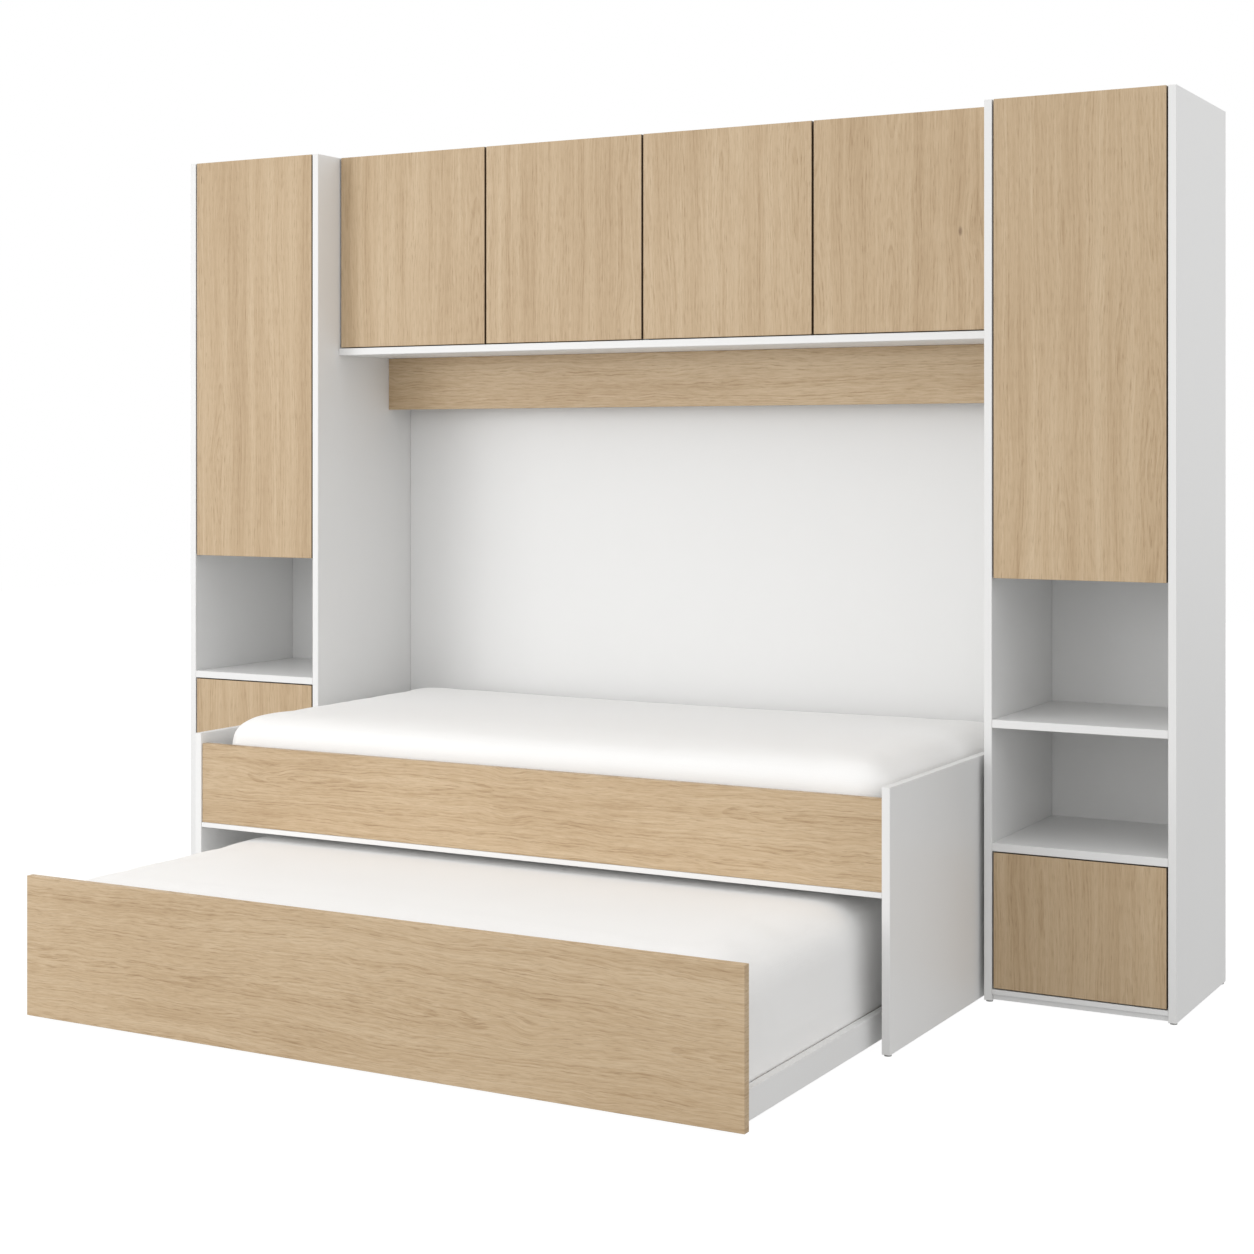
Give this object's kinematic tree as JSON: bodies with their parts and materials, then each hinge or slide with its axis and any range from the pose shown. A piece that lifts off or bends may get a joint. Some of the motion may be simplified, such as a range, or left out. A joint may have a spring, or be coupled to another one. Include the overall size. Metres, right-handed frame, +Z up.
{
  "type": "bridge wall bed with trundle",
  "caption": "Over-bed storage wall: tall towers joined by an overhead cabinet, a fixed bed between them and a pull-out trundle bed, with hinged doors and drawers.",
  "frame": {"origin": "on the floor, at the centre of the bounding box with the trundle standing as far out as in the rest pose", "axes": "+X to the right along the wall, +Y towards the wall, +Z up; the open front faces -Y"},
  "size_m": [2.82, 1.6355, 2.1],
  "materials": {
    "white_melamine": "satin",
    "oak_melamine": "satin",
    "slat_wood": "matte",
    "mattress_fabric": "matte",
    "caster_steel": "satin",
    "wheel_plastic": "matte"
  },
  "bodies": {
    "carcass": {"left_tower_outer_side": "white_melamine", "left_tower_inner_side": "white_melamine", "left_tower_top": "white_melamine", "left_tower_bottom": "white_melamine", "left_tower_plinth": "white_melamine", "left_tower_back": "white_melamine", "left_tower_niche_ceiling": "white_melamine", "left_tower_niche_shelf": "white_melamine", "left_tower_drawer_divider": "white_melamine", "left_tower_wardrobe_shelf": "white_melamine", "right_tower_outer_side": "white_melamine", "right_tower_inner_side": "white_melamine", "right_tower_top": "white_melamine", "right_tower_bottom": "white_melamine", "right_tower_plinth": "white_melamine", "right_tower_back": "white_melamine", "right_tower_niche_ceiling": "white_melamine", "right_tower_niche_shelf": "white_melamine", "right_tower_cupboard_top": "white_melamine", "right_tower_wardrobe_shelf": "white_melamine", "bridge_shelf": "white_melamine", "bridge_top": "white_melamine", "bridge_left_side": "white_melamine", "bridge_partition": "white_melamine", "bridge_right_side": "white_melamine", "bridge_back": "white_melamine", "bridge_rail": "oak_melamine", "wall_back_panel": "white_melamine", "bed_left_end": "white_melamine", "bed_right_end": "white_melamine", "bed_base_board": "white_melamine", "bed_front": "oak_melamine", "bed_back_rail": "white_melamine", "bed_slats": "slat_wood", "bed_mattress": "mattress_fabric"},
    "left_door": {"left_tower_door": "oak_melamine"},
    "right_door": {"right_tower_door": "oak_melamine"},
    "cupboard_door": {"right_tower_cupboard_door": "oak_melamine"},
    "upper_drawer": {"upper_drawer_front": "oak_melamine", "upper_drawer_box": "white_melamine"},
    "lower_drawer": {"lower_drawer_front": "oak_melamine", "lower_drawer_box": "white_melamine"},
    "trundle": {"trundle_front": "oak_melamine", "trundle_left_side": "white_melamine", "trundle_right_side": "white_melamine", "trundle_back_rail": "white_melamine", "trundle_slats": "slat_wood", "trundle_mattress": "mattress_fabric", "trundle_bracket_front_left": "caster_steel", "trundle_bracket_front_right": "caster_steel", "trundle_bracket_back_left": "caster_steel", "trundle_bracket_back_right": "caster_steel"},
    "bridge_door_1": {"bridge_door_1": "oak_melamine"},
    "bridge_door_2": {"bridge_door_2": "oak_melamine"},
    "bridge_door_3": {"bridge_door_3": "oak_melamine"},
    "bridge_door_4": {"bridge_door_4": "oak_melamine"},
    "wheel_front_left": {"trundle_wheel_front_left": "wheel_plastic"},
    "wheel_front_right": {"trundle_wheel_front_right": "wheel_plastic"},
    "wheel_back_left": {"trundle_wheel_back_left": "wheel_plastic"},
    "wheel_back_right": {"trundle_wheel_back_right": "wheel_plastic"}
  },
  "joints": [
    {"name": "trundle_slide", "type": "slide", "parent": "carcass", "child": "trundle", "axis": [0, -1, 0], "range_m": [-0.642, 0.27]},
    {"name": "wheel_front_left_spin", "type": "hinge", "parent": "trundle", "child": "wheel_front_left", "pos_m": [-0.8347, -0.67845, 0.025], "axis": [1, 0, 0], "continuous": true},
    {"name": "wheel_front_right_spin", "type": "hinge", "parent": "trundle", "child": "wheel_front_right", "pos_m": [0.8647, -0.67845, 0.025], "axis": [1, 0, 0], "continuous": true},
    {"name": "wheel_back_left_spin", "type": "hinge", "parent": "trundle", "child": "wheel_back_left", "pos_m": [-0.8347, 0.00255, 0.025], "axis": [1, 0, 0], "continuous": true},
    {"name": "wheel_back_right_spin", "type": "hinge", "parent": "trundle", "child": "wheel_back_right", "pos_m": [0.8647, 0.00255, 0.025], "axis": [1, 0, 0], "continuous": true},
    {"name": "left_door_hinge", "type": "hinge", "parent": "carcass", "child": "left_door", "pos_m": [-1.387, 0.36775, 0.9865], "axis": [0, 0, -1], "range_deg": [0, 105]},
    {"name": "right_door_hinge", "type": "hinge", "parent": "carcass", "child": "right_door", "pos_m": [1.387, 0.36775, 0.9865], "axis": [0, 0, 1], "range_deg": [0, 105]},
    {"name": "cupboard_door_hinge", "type": "hinge", "parent": "carcass", "child": "cupboard_door", "pos_m": [1.387, 0.36775, 0.034], "axis": [0, 0, 1], "range_deg": [0, 105]},
    {"name": "bridge_door_1_hinge", "type": "hinge", "parent": "carcass", "child": "bridge_door_1", "pos_m": [-0.956, 0.46825, 1.571], "axis": [0, 0, -1], "range_deg": [0, 90]},
    {"name": "bridge_door_2_hinge", "type": "hinge", "parent": "carcass", "child": "bridge_door_2", "pos_m": [-0.003, 0.46825, 1.571], "axis": [0, 0, 1], "range_deg": [0, 90]},
    {"name": "bridge_door_3_hinge", "type": "hinge", "parent": "carcass", "child": "bridge_door_3", "pos_m": [0.003, 0.46825, 1.571], "axis": [0, 0, -1], "range_deg": [0, 90]},
    {"name": "bridge_door_4_hinge", "type": "hinge", "parent": "carcass", "child": "bridge_door_4", "pos_m": [0.956, 0.46825, 1.571], "axis": [0, 0, 1], "range_deg": [0, 90]},
    {"name": "upper_drawer_slide", "type": "slide", "parent": "carcass", "child": "upper_drawer", "axis": [0, -1, 0], "range_m": [0, 0.34]},
    {"name": "lower_drawer_slide", "type": "slide", "parent": "carcass", "child": "lower_drawer", "axis": [0, -1, 0], "range_m": [0, 0.34]}
  ]
}
